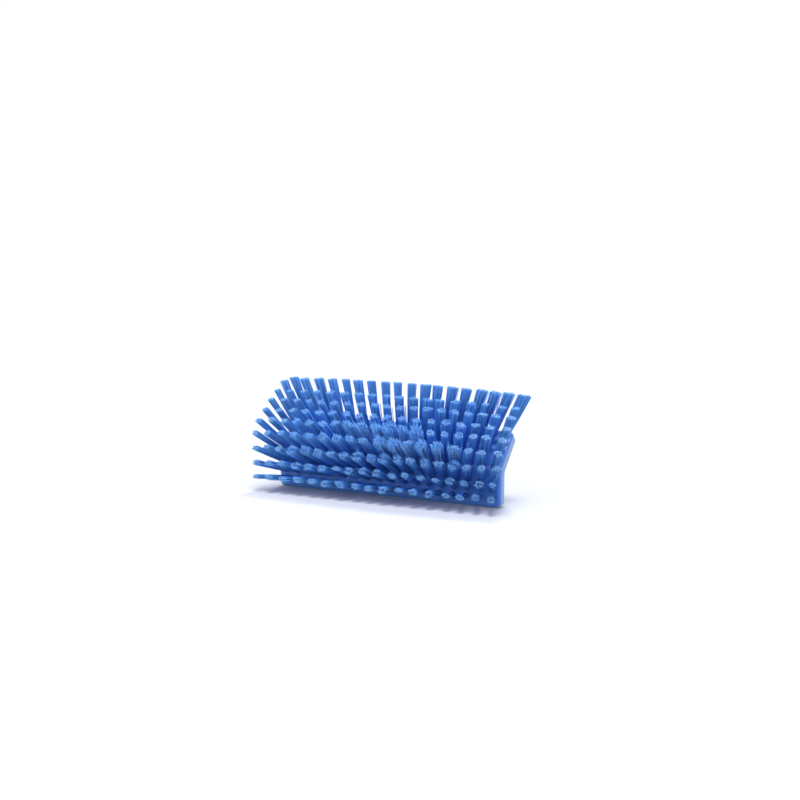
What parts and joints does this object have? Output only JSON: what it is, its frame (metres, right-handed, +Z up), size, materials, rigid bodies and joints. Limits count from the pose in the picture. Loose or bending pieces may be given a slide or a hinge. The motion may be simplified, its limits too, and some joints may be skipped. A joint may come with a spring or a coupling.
{
  "type": "scrub brush head",
  "caption": "Blue floor-and-wall scrub brush head: a bent plastic block with fanned rows of stiff bristle tufts in front and a screw-in handle socket on its hollow back.",
  "frame": {"origin": "middle of the foot, the flat lower edge of the block that the brush stands on", "axes": "+X along the brush, +Z up, -Y towards the viewer and the tufts of the lower part; the socket points to +Y and down"},
  "size_m": [0.2706, 0.085, 0.1082],
  "materials": {
    "block_plastic": "moulded polypropylene, satin, blue through the material",
    "tuft_filament": "stiff polyester filament, satin, with paler cut tips",
    "anchor_wire": "flat stainless wire, bright drawn"
  },
  "bodies": {
    "root": {"brush_block": "block_plastic", "tuft_row_1": "tuft_filament", "tuft_row_2": "tuft_filament", "tuft_row_3": "tuft_filament", "tuft_row_4": "tuft_filament", "tuft_row_5": "tuft_filament", "tuft_row_6": "tuft_filament", "tuft_row_7": "tuft_filament", "tuft_row_8": "tuft_filament", "tuft_row_9": "tuft_filament", "anchor_row_1": "anchor_wire", "anchor_row_2": "anchor_wire", "anchor_row_3": "anchor_wire", "anchor_row_4": "anchor_wire", "anchor_row_5": "anchor_wire", "anchor_row_6": "anchor_wire", "anchor_row_7": "anchor_wire", "anchor_row_8": "anchor_wire", "anchor_row_9": "anchor_wire"}
  },
  "joints": []
}
